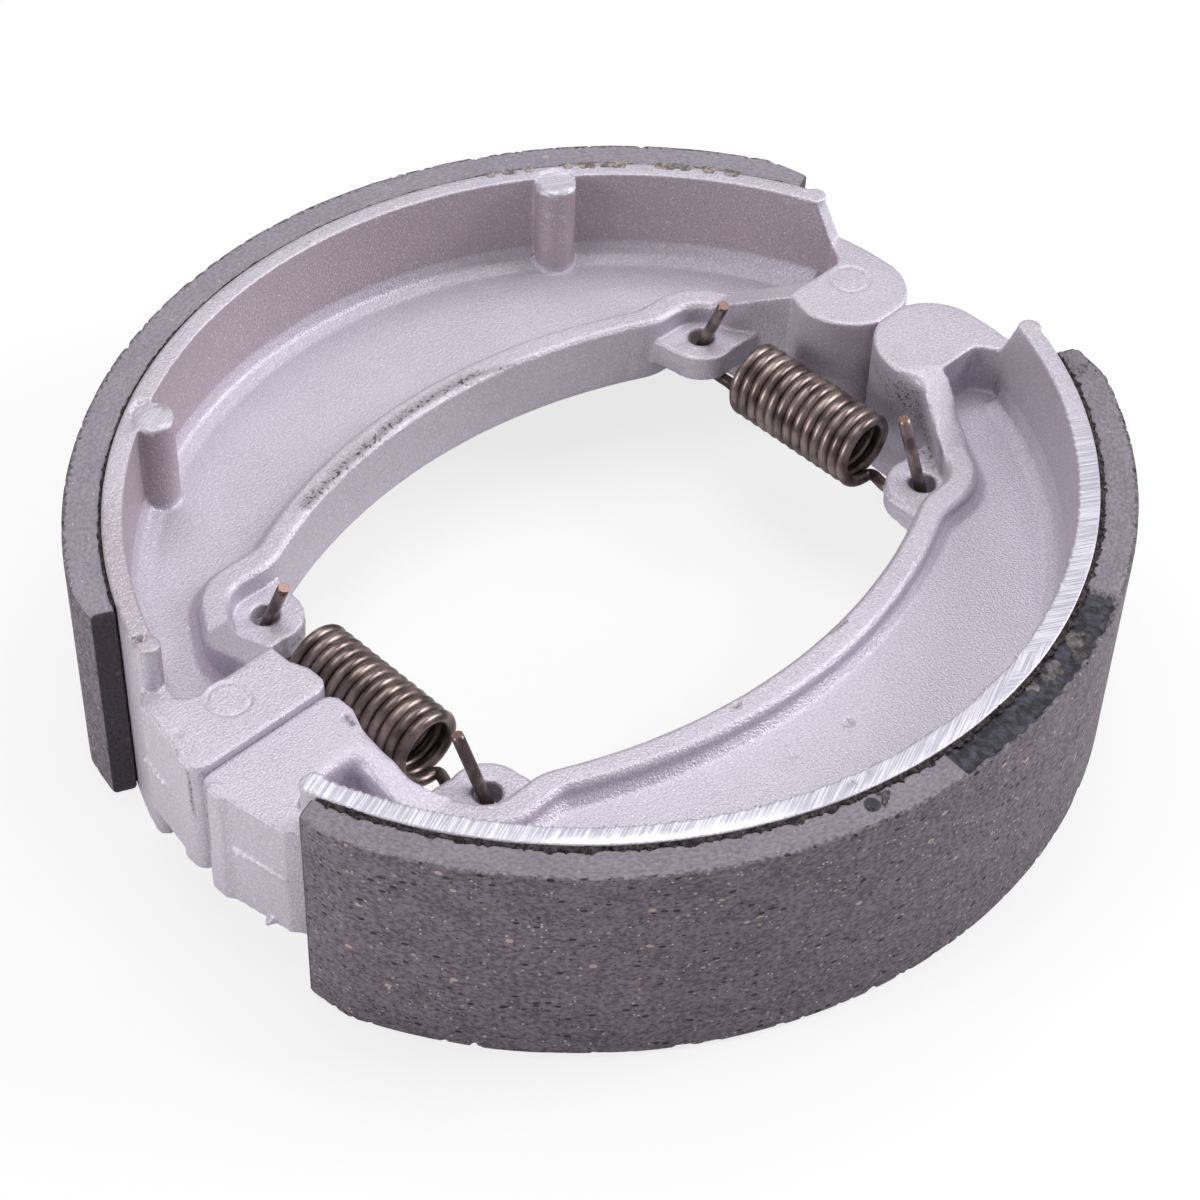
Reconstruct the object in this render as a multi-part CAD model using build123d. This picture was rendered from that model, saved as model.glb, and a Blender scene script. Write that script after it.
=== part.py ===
from build123d import *
import math
import os

# Brake shoe set for a drum of 110 mm bore and 25 mm lining width, held together by its two return springs.
# The parts stand as the set lies on a bench: X runs from the cam end to the anchor end, Y from the right
# shoe to the left shoe, Z is up. Z = 0 is the middle of the set here, and everything is lifted at the end.
# Both shoes are the same casting, and the right one is the left one turned over about the X axis.

# Lining and rim, all about the centre of the lining's arc
DRUM_BORE = 110.0
LINING_OUTER_R = DRUM_BORE / 2 - 0.25
LINING_THICKNESS = 3.5
BOND_THICKNESS = 0.25
LINING_INNER_R = LINING_OUTER_R - LINING_THICKNESS
RIM_OUTER_R = LINING_INNER_R - BOND_THICKNESS
RIM_THICKNESS = 2.0
RIM_INNER_R = RIM_OUTER_R - RIM_THICKNESS
LINING_WIDTH = 24.6
RIM_STEP = 0.35
RIM_HEIGHT = LINING_WIDTH + 2 * RIM_STEP
ARC_CENTRE_DROP = 4.15
LEFT_LINING_ENDS_DEG = (24.6, 155.6)
RIGHT_LINING_ENDS_DEG = (27.0, 161.5)
LINING_TAPER_DEG = 5.0
LINING_TAPER_DEPTH = 1.25
BOND_RECESS = 0.7

# Ends of the rim, as angles about the arc's centre
RIM_CAM_END_DEG = 161.8
RIM_ANCHOR_END_DEG = 19.0
RIM_TIP_RADIUS = 1.2
RIM_ANCHOR_PAD_DEG = 22.3
RIM_ANCHOR_PAD_R = 50.2
RIM_END_SLOPE_RUN = 2.3

# Web and rib: the rib's middle stretch is an arc about a point below the shoe
WEB_THICKNESS = 3.5
RIB_HEIGHT = 8.0
RIB_WIDTH = 3.1
RIB_ARC_CENTRE_Y = -34.5
RIB_INNER_R = 59.4
RIB_BEND_RADIUS = 3.2
RIB_LUG_CORNER = (26.6, 18.55)
RIB_CAM_SHOULDER = (-32.4, 18.7)
RIB_CAM_KNEE_Y = 13.0
RIB_CAM_FOOT_Y = 2.5
RIB_ANCHOR_SHOULDER = (31.5, 18.4)
RIB_ANCHOR_FOOT = (36.9, 9.0)
RIB_ANCHOR_TOE_Y = 4.0
RAMP_START_X = 31.0
CAM_RAMP_Y = (7.0, 15.5)
ANCHOR_RAMP_Y = (9.0, 16.5)
RIB_ROOT_FILLET = 0.9
RIB_CREST_ROUNDING = 0.5
RIM_ROOT_FILLET = 2.0

# Cam end block
BLOCK_TOP = 7.5
BLOCK_CAVITY_TOP = 6.6
CAM_PAD_OUT_X = -51.5
CAM_PAD_IN_X = -35.5
CAM_PAD_DEPTH = 3.4
CAM_BLOCK_BACK_Y = 7.4
CAM_BLOCK_IN_X = -36.3
CAM_BLOCK_SIDE = (-49.8, 10.0)
CAM_BLOCK_INNER_CORNER = (-46.9, 8.4)
CAM_BLOCK_CHAMFER_X = -45.4
CAM_PAD_CORNER = 1.5

# Anchor end nose
NOSE_X = 42.5
NOSE_Y = 6.0
NOSE_RADIUS = 6.3
NOSE_BACK_Y = 9.5
STRAP_OUTER_LOW = (48.75, 8.5)
STRAP_OUTER_HIGH = (48.5, 11.2)
STRAP_INNER_HIGH = (45.45, 10.2)
STRAP_INNER_LOW_X = 44.6

# Spring lugs
LUG_X = 30.5
LUG_Y = 15.7
LUG_RADIUS = 3.8
LUG_HOLE_DIAMETER = 2.8
LUG_THICKNESS = 3.0
LUG_ROOT_REACH = 6.2
LUG_ROOT_SHOULDER = 2.0

# Ejector posts and ejector pin marks, on one side of each casting only
POST_X = 27.6
POST_Y = 35.4
POST_DIAMETER = 4.3
POST_TOP_BELOW_RIM = 0.15
POST_TOP = RIM_HEIGHT / 2 - POST_TOP_BELOW_RIM
PIN_MARK_DIAMETER = 4.1
PIN_MARK_DEPTH = 0.15
CAM_MARK = (-43.5, 5.0)
ANCHOR_MARK = (43.6, 6.7)

# Return springs
WIRE_DIAMETER = 1.25
COIL_OUTER_DIAMETER = 8.2
COIL_AXIS_Z = 0.9
COIL_PITCH = 1.262
COIL_TURNS = 13
TURN_STEPS = 10
WIRE_SIDES = 6
HOOK_CLEARANCE = 0.1
HOOK_BEND_RADIUS = 1.1
HOOK_LEAD = 3.3
HOOK_STEPS = 4

# Where each coil lies (X, middle Y), and for each straight end its lean in X, lean back and height
ANCHOR_COIL = (30.2, -0.15)
CAM_COIL = (-30.6, 0.3)
ANCHOR_LEFT_TAIL = (0.0, 0.38, 6.0)
ANCHOR_RIGHT_TAIL = (-0.15, 0.25, 8.0)
CAM_LEFT_TAIL = (0.08, 0.38, 5.2)
CAM_RIGHT_TAIL = (-0.13, 0.38, 6.3)

FLOOR = RIM_HEIGHT / 2
ARC_CENTRE = (0, -ARC_CENTRE_DROP)


def on_arc(radius, degrees):
    """Point of a circle about the centre of the lining's arc."""
    a = math.radians(degrees)
    return (radius * math.cos(a), -ARC_CENTRE_DROP + radius * math.sin(a))


def ring_sector(inner_r, outer_r, start_deg, end_deg, low, high):
    """Curved bar between two radii and two angles about the arc's centre, from z low to z high."""
    mid = (start_deg + end_deg) / 2
    with BuildPart() as bar:
        with BuildSketch(Plane.XY.offset(low)):
            with BuildLine():
                outer = ThreePointArc(on_arc(outer_r, start_deg), on_arc(outer_r, mid), on_arc(outer_r, end_deg))
                inner = ThreePointArc(on_arc(inner_r, start_deg), on_arc(inner_r, mid), on_arc(inner_r, end_deg))
                Line(outer @ 0, inner @ 0)
                Line(outer @ 1, inner @ 1)
            make_face()
        extrude(amount=high - low)
    return bar.part


def prism(points, low, high):
    """Upright solid over a closed outline of straight sides."""
    with BuildPart() as solid:
        with BuildSketch(Plane.XY.offset(low)):
            with BuildLine():
                Polyline(*points, close=True)
            make_face()
        extrude(amount=high - low)
    return solid.part


def cylinder_at(x, y, radius, low, high):
    return Pos(x, y, (low + high) / 2) * Cylinder(radius, high - low)


def rib_region(grow, low, high):
    """Everything between the rib's inner edge, moved outward by grow, and the rim's middle radius."""
    r = RIB_INNER_R + grow
    corner_x, corner_y = RIB_LUG_CORNER[0], RIB_LUG_CORNER[1] + grow
    cam_leg_x = CAM_BLOCK_IN_X - 0.97 * grow
    anchor_leg_x = RIB_ANCHOR_FOOT[0] + 0.95 * grow
    rim_r = RIM_INNER_R + RIM_THICKNESS / 2
    cam_path = [
        (cam_leg_x, RIB_CAM_FOOT_Y),
        (cam_leg_x, RIB_CAM_KNEE_Y + 0.25 * grow),
        (RIB_CAM_SHOULDER[0] - 0.62 * grow, RIB_CAM_SHOULDER[1] + grow),
        (-corner_x, corner_y),
    ]
    anchor_path = [
        (corner_x, corner_y),
        (RIB_ANCHOR_SHOULDER[0] + 0.55 * grow, RIB_ANCHOR_SHOULDER[1] + grow),
        (anchor_leg_x, RIB_ANCHOR_FOOT[1] + 0.45 * grow),
        (anchor_leg_x, RIB_ANCHOR_TOE_Y),
    ]
    with BuildPart() as solid:
        with BuildSketch(Plane.XY.offset(low)) as face:
            with BuildLine():
                Polyline(*cam_path)
                ThreePointArc(cam_path[-1], (0, RIB_ARC_CENTRE_Y + r), anchor_path[0])
                Polyline(*anchor_path)
                Line(anchor_path[-1], on_arc(rim_r, 14.0))
                ThreePointArc(on_arc(rim_r, 14.0), on_arc(rim_r, 90), on_arc(rim_r, 165.0))
                Line(on_arc(rim_r, 165.0), cam_path[0])
            make_face()
            turned_in = [cam_path[1], cam_path[2], anchor_path[1]]
            turned_out = [cam_path[3], anchor_path[0]]
            for bends, radius in (
                (turned_in, RIB_BEND_RADIUS + grow),
                (turned_out, RIB_BEND_RADIUS + RIB_WIDTH - grow),
            ):
                near = [v for v in face.vertices() if any(abs(v.X - x) + abs(v.Y - y) < 0.01 for x, y in bends)]
                fillet(near, radius)
        extrude(amount=high - low)
    return solid.part


def ramp_envelope(flat_to, ramp_to, top, bottom, x_low, x_high):
    """Slab over a range of x whose height falls from the block's to the rib's as y grows."""
    half = RIB_HEIGHT / 2
    profile = [
        (0, bottom),
        (flat_to, bottom),
        (ramp_to, -half),
        (ramp_to, half),
        (flat_to, top),
        (0, top),
    ]
    with BuildPart() as slab:
        with BuildSketch(Plane.YZ.offset(x_low)):
            with BuildLine():
                Polyline(*profile, close=True)
            make_face()
        extrude(amount=x_high - x_low)
    return slab.part


def rim_root_fillet(side):
    """Fillet between web and rim on one side of the web, two flats of a hollow turned about the arc's centre."""
    start_deg, end_deg = RIM_ANCHOR_END_DEG + 1.5, RIM_CAM_END_DEG - 1.3
    a = math.radians(start_deg)
    centre = (0, -ARC_CENTRE_DROP, 0)
    section = Plane(origin=centre, x_dir=(math.cos(a), math.sin(a), 0), z_dir=(math.sin(a), -math.cos(a), 0))
    rim_r = RIM_INNER_R
    face = side * WEB_THICKNESS / 2
    sunk = face - side * 0.4
    reach = face + side * RIM_ROOT_FILLET
    bulge = RIM_ROOT_FILLET * (1 - math.sqrt(0.5))
    profile = [
        (rim_r - RIM_ROOT_FILLET, face),
        (rim_r - RIM_ROOT_FILLET, sunk),
        (rim_r + 0.4, sunk),
        (rim_r + 0.4, reach),
        (rim_r, reach),
        (rim_r - bulge, face + side * bulge),
    ]
    with BuildPart() as bead:
        with BuildSketch(section):
            with BuildLine():
                Polyline(*profile, close=True)
            make_face()
        revolve(axis=Axis(centre, (0, 0, 1)), revolution_arc=end_deg - start_deg)
    return bead.part


def web_with_rib(web, rib):
    """Web and rib in one, with the rib's roots eased into the web and its crests broken."""
    joined = web + rib
    for side in (-1, 1):
        z = side * WEB_THICKNESS / 2
        level = joined.edges().filter_by_position(Axis.Z, z - 0.01, z + 0.01)
        inside = 0.9 * RIM_INNER_R
        roots = [e for e in level if math.hypot((e @ 0.5).X, (e @ 0.5).Y + ARC_CENTRE_DROP) < inside]
        joined = joined.chamfer(RIB_ROOT_FILLET, None, roots)
    for side in (-1, 1):
        z = side * RIB_HEIGHT / 2
        level = joined.edges().filter_by_position(Axis.Z, z - 0.01, z + 0.01)
        crests = [e for e in level if (e @ 0.5).Y > 12.9 and e.length > 1]
        joined = joined.chamfer(RIB_CREST_ROUNDING, None, crests)
    return joined


def make_casting():
    """One shoe: rim, web, rib, cam block, anchor nose, two lugs and two ejector posts in a single casting."""
    half = RIM_HEIGHT / 2
    rim = ring_sector(RIM_INNER_R, RIM_OUTER_R, RIM_ANCHOR_END_DEG, RIM_CAM_END_DEG, -half, half)
    tip_x, tip_y = on_arc(RIM_OUTER_R - RIM_TIP_RADIUS, RIM_CAM_END_DEG)
    rim += cylinder_at(tip_x, tip_y, RIM_TIP_RADIUS, -half, half)

    end = math.radians(RIM_ANCHOR_END_DEG)
    x, y = on_arc(RIM_INNER_R, RIM_ANCHOR_END_DEG)
    along = Vector(-math.sin(end), math.cos(end), 0)
    end_plane = Plane(origin=(x, y, 0), x_dir=along, z_dir=(math.cos(end), math.sin(end), 0))
    for side in (1, -1):
        with BuildPart() as wedge:
            with BuildSketch(end_plane.offset(-2)):
                with BuildLine():
                    up = -side
                    Polyline(
                        (-2, up * BLOCK_TOP),
                        (0, up * BLOCK_TOP),
                        (RIM_END_SLOPE_RUN, up * half),
                        (RIM_END_SLOPE_RUN, up * (half + 1)),
                        (-2, up * (half + 1)),
                        close=True,
                    )
                make_face()
            extrude(amount=RIM_THICKNESS + 4)
        rim -= wedge.part
    pad_x, pad_y = on_arc(RIM_ANCHOR_PAD_R, RIM_ANCHOR_PAD_DEG)
    rim += cylinder_at(pad_x, pad_y, RIM_TIP_RADIUS, -half, half)

    web = rib_region(0, -WEB_THICKNESS / 2, WEB_THICKNESS / 2)
    tall = rib_region(0, -BLOCK_TOP, BLOCK_TOP) - rib_region(RIB_WIDTH, -BLOCK_TOP - 1, BLOCK_TOP + 1)
    rib_slab = Box(2 * DRUM_BORE, 2 * DRUM_BORE, RIB_HEIGHT)
    cam_ramp = ramp_envelope(*CAM_RAMP_Y, BLOCK_TOP, -BLOCK_CAVITY_TOP, -LINING_OUTER_R, -RAMP_START_X)
    anchor_ramp = ramp_envelope(*ANCHOR_RAMP_Y, BLOCK_TOP, -BLOCK_TOP, RAMP_START_X, LINING_OUTER_R)
    core = rim + web_with_rib(web, tall & rib_slab) + (tall & cam_ramp) + (tall & anchor_ramp)
    core = core + rim_root_fillet(1) + rim_root_fillet(-1)

    outer_low = on_arc(RIM_OUTER_R, RIM_CAM_END_DEG)
    inner_low = on_arc(RIM_INNER_R, RIM_CAM_END_DEG - 1.0)
    cam_block = prism(
        [
            (CAM_PAD_OUT_X, 0),
            (CAM_PAD_OUT_X, CAM_PAD_DEPTH - 0.6),
            (CAM_PAD_OUT_X + 0.6, CAM_PAD_DEPTH + 0.3),
            CAM_BLOCK_SIDE,
            outer_low,
            inner_low,
            CAM_BLOCK_INNER_CORNER,
            (CAM_BLOCK_CHAMFER_X, CAM_BLOCK_BACK_Y),
            (CAM_BLOCK_IN_X, CAM_BLOCK_BACK_Y),
            (CAM_BLOCK_IN_X, CAM_PAD_DEPTH + 1.6),
            (CAM_PAD_IN_X, CAM_PAD_DEPTH - 0.4),
            (CAM_PAD_IN_X, 0),
        ],
        -BLOCK_CAVITY_TOP,
        BLOCK_TOP,
    )
    corners = [e for e in cam_block.edges().filter_by(Axis.Z) if e.center().Y < 0.01]
    cam_block = fillet(corners, CAM_PAD_CORNER)

    nose = cylinder_at(NOSE_X, NOSE_Y, NOSE_RADIUS, -BLOCK_TOP, BLOCK_TOP)
    below = 4 * NOSE_RADIUS
    nose -= Pos(NOSE_X, -below / 2, 0) * Box(below, below, below)
    nose_out = on_arc(RIM_OUTER_R, RIM_ANCHOR_END_DEG)
    nose_in = on_arc(RIM_INNER_R, RIM_ANCHOR_END_DEG)
    strap = prism(
        [
            (NOSE_X, 2 * NOSE_Y / 3),
            (NOSE_X + NOSE_RADIUS - 0.02, NOSE_Y),
            STRAP_OUTER_LOW,
            STRAP_OUTER_HIGH,
            nose_out,
            nose_in,
            STRAP_INNER_HIGH,
            (STRAP_INNER_LOW_X, NOSE_BACK_Y),
            (NOSE_X - 2 * NOSE_RADIUS / 3, NOSE_BACK_Y),
        ],
        -BLOCK_TOP,
        BLOCK_TOP,
    )
    nose -= Pos(NOSE_X, NOSE_BACK_Y + below / 2, 0) * Box(below, below, below)

    lugs = []
    for side in (-1, 1):
        disc = cylinder_at(side * LUG_X, LUG_Y, LUG_RADIUS, -LUG_THICKNESS / 2, LUG_THICKNESS / 2)
        root = prism(
            [
                (side * (LUG_X - LUG_RADIUS), LUG_Y),
                (side * (LUG_X - 1.18 * LUG_RADIUS), LUG_Y + 1.05 * LUG_RADIUS),
                (side * (LUG_X + LUG_ROOT_SHOULDER), LUG_Y + 1.05 * LUG_RADIUS),
                (side * (LUG_X + LUG_ROOT_REACH), LUG_Y - LUG_ROOT_SHOULDER),
                (side * (LUG_X + LUG_ROOT_REACH), LUG_Y - 1.05 * LUG_RADIUS),
                (side * (LUG_X + 0.26 * LUG_RADIUS), LUG_Y - 0.966 * LUG_RADIUS),
            ],
            -LUG_THICKNESS / 2,
            LUG_THICKNESS / 2,
        )
        lugs.append(disc + root)

    casting = core + cam_block + nose + strap + lugs[0] + lugs[1]

    for side in (-1, 1):
        casting += cylinder_at(side * POST_X, POST_Y, POST_DIAMETER / 2, 0, POST_TOP)
        hole_r = LUG_HOLE_DIAMETER / 2
        casting -= cylinder_at(side * LUG_X, LUG_Y, hole_r, -LUG_THICKNESS, LUG_THICKNESS)
    for x, y in (CAM_MARK, ANCHOR_MARK):
        casting -= cylinder_at(x, y, PIN_MARK_DIAMETER / 2, BLOCK_TOP - PIN_MARK_DEPTH, BLOCK_TOP + 1)
    return casting


def turned_over(shape):
    """The same piece on the other shoe: half a turn about the X axis."""
    return shape.rotate(Axis.X, 180)


def make_lining(ends_deg):
    """Friction lining: a curved bar, its outer face cut flat towards both ends so that they meet the drum gently."""
    low, high = ends_deg
    half = LINING_WIDTH / 2
    lining = ring_sector(LINING_INNER_R, LINING_OUTER_R, low, high, -half, half)
    for end, inward in ((low, 1), (high, -1)):
        start_x, start_y = on_arc(LINING_OUTER_R, end + inward * LINING_TAPER_DEG)
        end_x, end_y = on_arc(LINING_OUTER_R - LINING_TAPER_DEPTH, end)
        beyond = (end_x + (end_x - start_x) * 0.2, end_y + (end_y - start_y) * 0.2)
        outside = on_arc(LINING_OUTER_R + 2, end - inward)
        outside_start = on_arc(LINING_OUTER_R + 2, end + inward * LINING_TAPER_DEG)
        lining -= prism([(start_x, start_y), beyond, outside, outside_start], -half - 1, half + 1)
    return lining


def make_bond(ends_deg):
    """Film of adhesive between rim and lining, drawn back a little from the lining's edges."""
    low, high = ends_deg
    depth = LINING_WIDTH / 2 - BOND_RECESS
    return ring_sector(RIM_OUTER_R, LINING_INNER_R, low + 0.6, high - 0.6, -depth, depth)


def hook_points(leave, outward, hole_x, tail):
    """Points of one spring end: off the coil, under the lug, up through the hole and on to the cut tip.

    leave is the coil's end point, outward is +1 for the left shoe and -1 for the right one, and tail
    holds the straight end's lean in X, its lean back over the coil and how far it stands above the lug.
    """
    lean_x, lean_back, height = tail
    low = -LUG_THICKNESS / 2 - HOOK_CLEARANCE - WIRE_DIAMETER / 2
    slope = Vector(lean_x, -outward * lean_back, 1)
    through = Vector(hole_x, outward * LUG_Y, 0)
    corner = through + slope * low
    tip = through + slope * (LUG_THICKNESS / 2 + height)
    run_start = Vector(hole_x, leave.Y + outward * HOOK_LEAD, low)
    back = (run_start - corner).normalized()
    up = (tip - corner).normalized()
    half_angle = math.radians(back.get_angle(up) / 2)
    reach = HOOK_BEND_RADIUS / math.tan(half_angle)
    turn_start = corner + back * reach
    turn_end = corner + up * reach
    handle_a = leave + Vector(-outward, 0, 0) * (0.55 * HOOK_LEAD)
    handle_b = run_start + back * (0.55 * HOOK_LEAD)
    points = []
    for i in range(1, HOOK_STEPS + 1):
        t = i / HOOK_STEPS
        u = 1 - t
        points.append(leave * u**3 + handle_a * (3 * t * u * u) + handle_b * (3 * t * t * u) + run_start * t**3)
    bisector = (back + up).normalized()
    centre = corner + bisector * (HOOK_BEND_RADIUS / math.sin(half_angle))
    first = turn_start - centre
    across = turn_end - centre
    sweep_angle = math.radians(first.get_angle(across))
    for i in range(HOOK_STEPS + 1):
        a = sweep_angle * i / HOOK_STEPS
        blend = first * (math.sin(sweep_angle - a) / math.sin(sweep_angle))
        points.append(centre + blend + across * (math.sin(a) / math.sin(sweep_angle)))
    points.append(tip)
    return points


def make_spring(axis_x, middle_y, left_tail, right_tail):
    """Close-wound return spring along Y whose two straight ends hook up through the lugs.

    The round wire is drawn with flats: straight stretches round each turn and a section of few sides.
    """
    wire_r = WIRE_DIAMETER / 2
    mean_r = COIL_OUTER_DIAMETER / 2 - wire_r
    low_y = middle_y - COIL_TURNS * COIL_PITCH / 2
    coil = []
    for i in range(COIL_TURNS * TURN_STEPS + 1):
        a = 2 * math.pi * i / TURN_STEPS
        y = low_y + COIL_PITCH * i / TURN_STEPS
        coil.append(Vector(axis_x - mean_r * math.sin(a), y, COIL_AXIS_Z - mean_r * math.cos(a)))
    hole_x = math.copysign(LUG_X, axis_x)
    right_end = hook_points(coil[0], -1, hole_x, right_tail)
    left_end = hook_points(coil[-1], 1, hole_x, left_tail)
    path = Polyline(*reversed(right_end), *coil, *left_end)
    outline_r = wire_r * 1.06
    section = Plane(origin=path @ 0, z_dir=path % 0) * RegularPolygon(outline_r, WIRE_SIDES)
    return sweep(section, path=path, transition=Transition.RIGHT)


def lifted(shape):
    return Pos(0, 0, FLOOR) * shape


def build():
    casting = make_casting()
    nodes = {
        "left_shoe_casting": casting,
        "right_shoe_casting": turned_over(casting),
        "left_friction_lining": make_lining(LEFT_LINING_ENDS_DEG),
        "right_friction_lining": turned_over(make_lining(RIGHT_LINING_ENDS_DEG)),
        "left_bond_line": make_bond(LEFT_LINING_ENDS_DEG),
        "right_bond_line": turned_over(make_bond(RIGHT_LINING_ENDS_DEG)),
        "anchor_end_spring": make_spring(*ANCHOR_COIL, ANCHOR_LEFT_TAIL, ANCHOR_RIGHT_TAIL),
        "cam_end_spring": make_spring(*CAM_COIL, CAM_LEFT_TAIL, CAM_RIGHT_TAIL),
    }
    os.makedirs("parts", exist_ok=True)
    for name, shape in nodes.items():
        export_step(lifted(shape), f"parts/{name}.step")
        print(name, shape.is_valid, len(shape.solids()), round(shape.volume, 1))


build()
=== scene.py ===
import math

import bpy
import numpy as np
from mathutils import Matrix, Vector


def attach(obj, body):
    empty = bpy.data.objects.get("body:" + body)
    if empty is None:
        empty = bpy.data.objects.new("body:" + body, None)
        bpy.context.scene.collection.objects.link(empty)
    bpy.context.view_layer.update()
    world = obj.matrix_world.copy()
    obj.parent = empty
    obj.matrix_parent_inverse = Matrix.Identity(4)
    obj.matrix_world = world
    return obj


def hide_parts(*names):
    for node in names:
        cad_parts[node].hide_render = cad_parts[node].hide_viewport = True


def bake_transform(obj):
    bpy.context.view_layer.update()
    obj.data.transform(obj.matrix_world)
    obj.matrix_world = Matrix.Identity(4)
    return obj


# A sprung pair of drum brake shoes: two die-cast aluminium shoes with bonded friction linings, drawn
# together by two close-wound springs. The set lies on a bench. X runs from the cam end to the anchor end,
# Y from the right shoe to the left shoe, Z is up, and the drum's axis is the Z axis. All lengths are metres.
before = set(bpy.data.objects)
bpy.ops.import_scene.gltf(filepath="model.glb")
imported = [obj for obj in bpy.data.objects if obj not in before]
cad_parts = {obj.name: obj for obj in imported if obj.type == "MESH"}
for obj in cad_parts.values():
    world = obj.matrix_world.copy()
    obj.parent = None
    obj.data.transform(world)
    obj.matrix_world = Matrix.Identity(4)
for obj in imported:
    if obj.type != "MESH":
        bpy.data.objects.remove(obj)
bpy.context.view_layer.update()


# Shoe castings: each shoe is one aluminium pressure die casting, with rim, web, rib, cam block, anchor nose,
# spring lugs and ejector posts in one piece. It is shot blasted, and the rim's two edges are machined flat.
# Both shoes come from the same die, and the right one lies turned over.
MM = 0.001
MIDDLE_Z = 12.65 * MM
# How far a shoe's arc has its centre from the drum's axis, towards the other shoe
ARC_DROP = 4.15 * MM
RIM_INNER_R = 49.0 * MM
RIM_OUTER_R = 51.0 * MM
RIM_MIDDLE_R = (RIM_INNER_R + RIM_OUTER_R) / 2
RIM_HALF_HEIGHT = 12.65 * MM
RIM_EDGE_ROUNDING = 0.12 * MM
# Degrees round the arc, counted from the anchor end, between which the rim is a plain bar
RIM_FROM, RIM_TO = 24.6, 160.2
# Heights above the middle: where the rim's wall is clear of the web's fillet, and where the rib's wall ends
RIM_WALL_FROM = 4.6 * MM
RIB_WALL_TO = 3.3 * MM
RIB_WALL_HALF_LENGTH = 24 * MM
RIB_CENTRE_Y = -34.5 * MM
RIB_INNER_R = 59.4 * MM
RIB_WIDTH = 3.5 * MM
BLOCK_TOP = 7.5 * MM
WEB_TOP = 1.75 * MM
POSTS = ((27.6 * MM, 35.4 * MM), (-27.6 * MM, 35.4 * MM))
POST_R = 2.15 * MM
POST_TOP = 12.5 * MM
POST_EDGE_ROUNDING = 0.15 * MM
POST_MARGIN = 0.4 * MM
PIN_MARKS = ((-43.5 * MM, 5.0 * MM), (43.6 * MM, 6.7 * MM))
PIN_MARK_R = 2.05 * MM
PIN_GROOVE_HALF_WIDTH = 0.22 * MM
PIN_GROOVE_DEPTH = 0.16 * MM
PIN_FACE_DEPTH = 0.04 * MM
SKIN_STEP = 0.2 * MM
SKIN_SMOOTHING = 4
SKIN_TRIANGLES = 190000


def new_object(name, data):
    thing = bpy.data.objects.new(name, data)
    bpy.context.scene.collection.objects.link(thing)
    return thing


def vectors_of(items, field):
    values = np.empty(len(items) * 3)
    items.foreach_get(field, values)
    return values.reshape(-1, 3)


def move_vertices(mesh, places):
    mesh.vertices.foreach_set("co", places.ravel())
    mesh.update()


def own_way_up(mesh, side):
    """Vertices from the middle of the set, in the left shoe's way up; side is -1 for the right shoe, which
    lies turned over."""
    return (vectors_of(mesh.vertices, "co") - [0, 0, MIDDLE_Z]) * [1, side, side]


def plan_distance(places, x, y):
    """Distance from the upright axis at x, y."""
    return np.hypot(places[:, 0] - x, places[:, 1] - y)


def round_the_arc(places):
    """Degrees round a shoe's arc, and distance from the arc's axis."""
    degrees = np.degrees(np.arctan2(places[:, 1] + ARC_DROP, places[:, 0]))
    return degrees, plan_distance(places, 0, -ARC_DROP)


def evaluated_mesh(obj):
    """The object's mesh with its modifiers applied; the object itself is removed."""
    depsgraph = bpy.context.evaluated_depsgraph_get()
    mesh = bpy.data.meshes.new_from_object(obj.evaluated_get(depsgraph))
    bpy.data.objects.remove(obj)
    return mesh


def skin_of(node):
    """The casting's CAD skin in even small squares, its edges worn a little soft."""
    copy = new_object(node + "_copy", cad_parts[node].data.copy())
    weld = copy.modifiers.new("weld", "WELD")
    weld.merge_threshold = 0.002 * MM
    remesh = copy.modifiers.new("even skin", "REMESH")
    remesh.mode = "VOXEL"
    remesh.voxel_size = SKIN_STEP
    soften = copy.modifiers.new("soften", "SMOOTH")
    soften.factor = 0.5
    soften.iterations = SKIN_SMOOTHING
    return evaluated_mesh(copy)


def thinned(mesh, triangles, whole):
    """The same skin with fewer triangles where it is flat, but not at the vertices that stay whole."""
    copy = new_object("thinned", mesh)
    copy.vertex_groups.new(name="free").add(np.flatnonzero(~whole).tolist(), 1.0, "REPLACE")
    thin = copy.modifiers.new("thin", "DECIMATE")
    thin.vertex_group = "free"
    thin.ratio = min(1.0, triangles / (2 * len(mesh.polygons)))
    return evaluated_mesh(copy)


def nearest_on_bar(section, half_across, half_high, rounding):
    """Nearest points of a rounded rectangle about the origin: each point clamped to the inner rectangle, plus
    the rounding in the direction of what is left over."""
    inner = np.array([half_across, half_high]) - rounding
    core = np.clip(section, -inner, inner)
    away = section - core
    return core + away * (rounding / np.maximum(np.hypot(*away.T), 1e-7))[:, None]


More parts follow.
